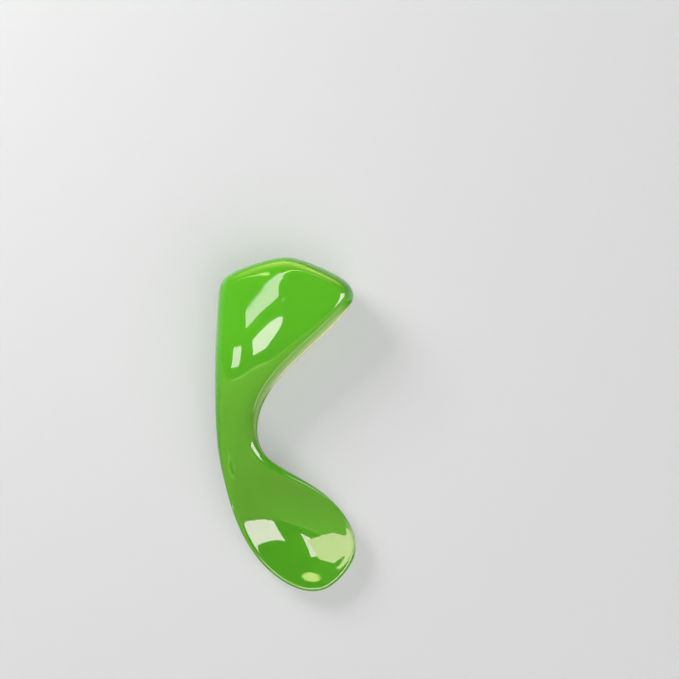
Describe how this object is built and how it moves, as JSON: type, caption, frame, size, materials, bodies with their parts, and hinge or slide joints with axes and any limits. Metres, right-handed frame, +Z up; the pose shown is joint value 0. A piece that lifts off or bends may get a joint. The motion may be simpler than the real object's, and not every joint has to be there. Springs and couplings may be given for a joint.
{
  "type": "baby spoon",
  "caption": "Curved self-feeding baby spoon: a chunky hollow fist-grip handle bends round through a slim neck into a shallow bowl that faces the child.",
  "frame": {"origin": "on the surface that the spoon lies on, under the middle of its length and width", "axes": "+Z up out of the bowl and the front of the handle, +Y from the bowl's tip to the handle's end, +X towards the open side of the bend"},
  "size_m": [0.0465, 0.1104, 0.0211],
  "materials": {
    "green_plastic": "glossy lime-green polypropylene, softly rippled by the mould",
    "green_plastic_back": "glossy lime-green polypropylene, the same as the front moulding"
  },
  "bodies": {
    "root": {"spoon_body": "green_plastic", "handle_back": "green_plastic_back"}
  },
  "joints": []
}
